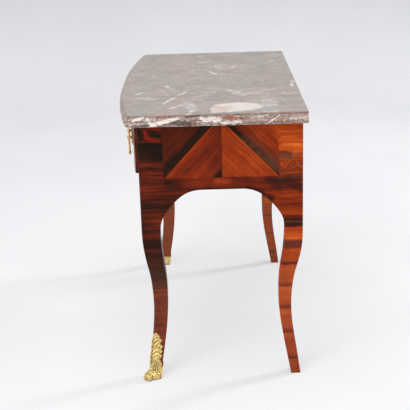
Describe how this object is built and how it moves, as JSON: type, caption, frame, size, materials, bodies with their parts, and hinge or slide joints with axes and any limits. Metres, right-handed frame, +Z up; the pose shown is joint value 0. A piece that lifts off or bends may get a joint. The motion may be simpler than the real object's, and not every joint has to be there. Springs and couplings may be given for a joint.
{
  "type": "console commode",
  "caption": "Console commode: bow-fronted drawer under a moulded marble slab, on tall cabriole legs, the front feet in bronze shoes.",
  "frame": {"origin": "on the floor, under the middle of the marble slab's box", "axes": "+Z up, +Y towards the back against the wall, +X to the right of someone who faces the drawer"},
  "size_m": [1.0216, 0.5669, 0.84],
  "materials": {
    "marble": "polished marble",
    "rosewood_veneer": "quartered veneer, French polish",
    "plain_wood": "unpolished oak and pine",
    "gilt_bronze": "chased and gilt",
    "lock_iron": "filed iron"
  },
  "bodies": {
    "case": {"marble_top": "marble", "leg_front_left": "rosewood_veneer", "leg_front_right": "rosewood_veneer", "leg_rear_left": "rosewood_veneer", "leg_rear_right": "rosewood_veneer", "side_panel_left": "rosewood_veneer", "side_panel_right": "rosewood_veneer", "rail_front_upper": "plain_wood", "rail_front_lower": "plain_wood", "rail_rear_upper": "plain_wood", "rail_rear_lower": "plain_wood", "back_boards": "plain_wood", "drawer_runner_left": "plain_wood", "drawer_runner_right": "plain_wood", "drawer_kicker_left": "plain_wood", "drawer_kicker_right": "plain_wood", "drawer_guide_left": "plain_wood", "drawer_guide_right": "plain_wood", "drawer_stops": "plain_wood", "glue_blocks": "plain_wood", "tenon_pegs": "plain_wood", "shoe_left": "gilt_bronze", "shoe_right": "gilt_bronze"},
    "drawer": {"drawer_front": "rosewood_veneer", "drawer_side_left": "plain_wood", "drawer_side_right": "plain_wood", "drawer_back": "plain_wood", "drawer_bottom": "plain_wood", "lock_case": "lock_iron", "lock_screws": "lock_iron", "escutcheon": "gilt_bronze", "handle_plate_left": "gilt_bronze", "handle_plate_right": "gilt_bronze", "handle_posts_left": "gilt_bronze", "handle_posts_right": "gilt_bronze", "handle_nuts_left": "gilt_bronze", "handle_nuts_right": "gilt_bronze"},
    "lock_bolt": {"lock_bolt": "lock_iron"},
    "handle_bail_left": {"handle_bail_left": "gilt_bronze"},
    "handle_bail_right": {"handle_bail_right": "gilt_bronze"}
  },
  "joints": [
    {"name": "drawer_slide", "type": "slide", "parent": "case", "child": "drawer", "axis": [0, -1, 0], "range_m": [0, 0.3]},
    {"name": "lock_bolt_slide", "type": "slide", "parent": "drawer", "child": "lock_bolt", "axis": [0, 0, 1], "range_m": [0, 0.009]},
    {"name": "bail_left_swing", "type": "hinge", "parent": "drawer", "child": "handle_bail_left", "pos_m": [-0.26092, -0.24854, 0.728], "axis": [-0.9971, 0.0762, 0], "range_deg": [-5, 85]},
    {"name": "bail_right_swing", "type": "hinge", "parent": "drawer", "child": "handle_bail_right", "pos_m": [0.26092, -0.24854, 0.728], "axis": [-0.9971, -0.0762, 0], "range_deg": [-5, 85]}
  ]
}
